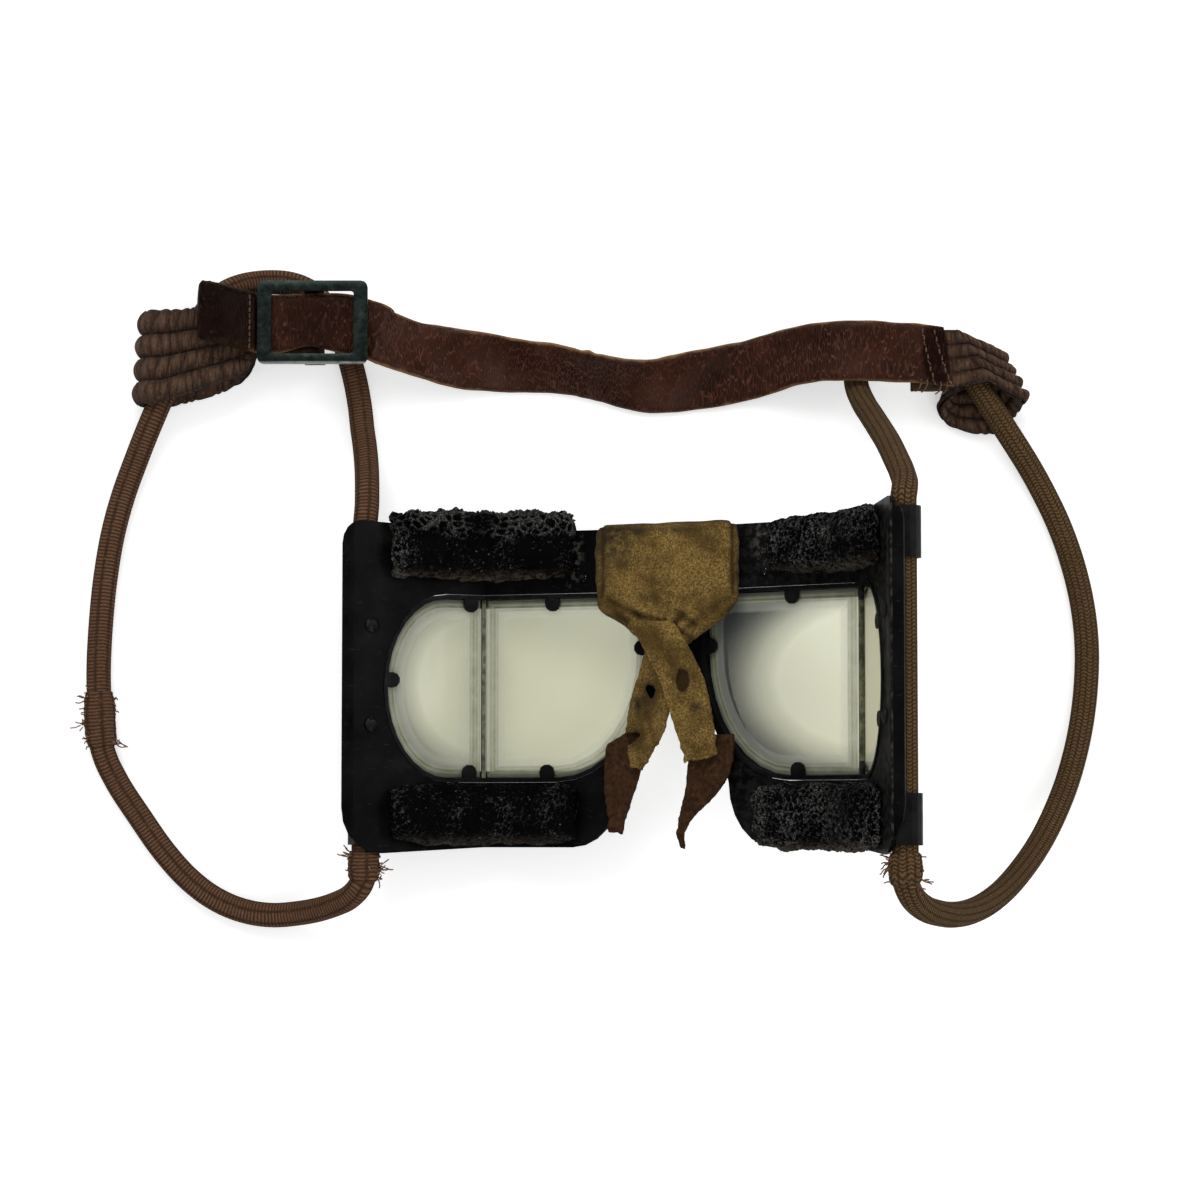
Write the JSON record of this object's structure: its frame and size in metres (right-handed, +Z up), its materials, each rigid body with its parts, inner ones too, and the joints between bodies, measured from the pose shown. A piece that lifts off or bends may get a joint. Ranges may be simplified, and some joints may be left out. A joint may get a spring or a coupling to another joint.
{
  "type": "flying goggles",
  "caption": "Leather and metal flying goggles with angled glass, sponge pads, elastic cords and a sprung leather headband.",
  "frame": {"origin": "centre of the footprint of the goggles and headband as they lie, on the ground", "axes": "+X from the wearer's left wing to the right wing, +Y from the cheek edge to the brow edge, +Z up off the ground"},
  "size_m": [0.25, 0.1622, 0.0887],
  "materials": {
    "black_paint": "worn satin",
    "black_steel": "blackened",
    "laminated_glass": "polished",
    "joint_cement": "dull",
    "sponge_rubber": "open cells",
    "chamois": "napped",
    "lining_leather": "matt",
    "left_braid": "braided",
    "right_braid": "braided",
    "ruched_cloth": "gathered",
    "strap_leather": "worn gloss",
    "buckle_steel": "worn plating",
    "spring_steel": "wire",
    "rivet_metal": "dull"
  },
  "bodies": {
    "frame_body": {"face_plate": "black_paint", "left_lens_cell": "black_steel", "left_upper_cord_clip": "black_steel", "left_lower_cord_clip": "black_steel", "left_front_pane": "laminated_glass", "left_side_pane": "laminated_glass", "left_pane_joint": "joint_cement", "left_upper_sponge_pad": "sponge_rubber", "left_lower_sponge_pad": "sponge_rubber", "left_chamois_flap": "chamois", "left_under_flap": "lining_leather", "left_upper_clip_rivet_1": "rivet_metal", "left_upper_clip_rivet_2": "rivet_metal", "left_wing_rivet_upper": "rivet_metal", "left_lower_clip_rivet_1": "rivet_metal", "left_lower_clip_rivet_2": "rivet_metal", "left_wing_rivet_lower": "rivet_metal", "left_bridge_rivet": "rivet_metal", "left_panel_ruched_cloth": "ruched_cloth", "left_panel_lining": "ruched_cloth", "left_panel_spring_1": "spring_steel", "left_panel_spring_2": "spring_steel", "left_panel_spring_3": "spring_steel", "left_panel_spring_4": "spring_steel", "right_lens_cell": "black_steel", "right_upper_cord_clip": "black_steel", "right_lower_cord_clip": "black_steel", "right_front_pane": "laminated_glass", "right_side_pane": "laminated_glass", "right_pane_joint": "joint_cement", "right_upper_sponge_pad": "sponge_rubber", "right_lower_sponge_pad": "sponge_rubber", "right_chamois_flap": "chamois", "right_under_flap": "lining_leather", "right_upper_clip_rivet_1": "rivet_metal", "right_upper_clip_rivet_2": "rivet_metal", "right_wing_rivet_upper": "rivet_metal", "right_lower_clip_rivet_1": "rivet_metal", "right_lower_clip_rivet_2": "rivet_metal", "right_wing_rivet_lower": "rivet_metal", "right_bridge_rivet": "rivet_metal", "right_panel_ruched_cloth": "ruched_cloth", "right_panel_lining": "ruched_cloth", "right_panel_spring_1": "spring_steel", "right_panel_spring_2": "spring_steel", "right_panel_spring_3": "spring_steel", "right_panel_spring_4": "spring_steel", "chamois_nose_pad": "chamois", "left_cord_long": "left_braid", "left_cord_short": "left_braid", "left_outer_cord_binding": "left_braid", "left_lower_cord_binding": "left_braid", "right_cord": "right_braid", "right_cord_binding": "right_braid"},
    "buckle_anchor": {"left_leather_loop": "strap_leather"},
    "buckle": {"buckle_frame": "buckle_steel", "buckle_pin": "buckle_steel"},
    "strap": {"leather_strap": "strap_leather", "right_end_patch": "strap_leather"}
  },
  "joints": [
    {"name": "left_panel_stretch", "type": "slide", "parent": "frame_body", "child": "buckle_anchor", "axis": [1, 0, 0], "range_m": [0, 0.004], "stiffness_N_per_m": 150, "deforming": ["left_panel_ruched_cloth", "left_panel_lining", "left_panel_spring_1", "left_panel_spring_2", "left_panel_spring_3", "left_panel_spring_4"]},
    {"name": "buckle_tilt", "type": "hinge", "parent": "buckle_anchor", "child": "buckle", "pos_m": [-0.0655, 0.0593, 0.00915], "axis": [0, 1, 0], "range_deg": [-4, 4]},
    {"name": "right_panel_stretch", "type": "slide", "parent": "frame_body", "child": "strap", "axis": [-1, 0, 0], "range_m": [0, 0.004], "stiffness_N_per_m": 150, "deforming": ["right_panel_ruched_cloth", "right_panel_lining", "right_panel_spring_1", "right_panel_spring_2", "right_panel_spring_3", "right_panel_spring_4"]}
  ],
  "couplings": [
    {"joint": "right_panel_stretch", "follows": "left_panel_stretch", "ratio": 1}
  ]
}
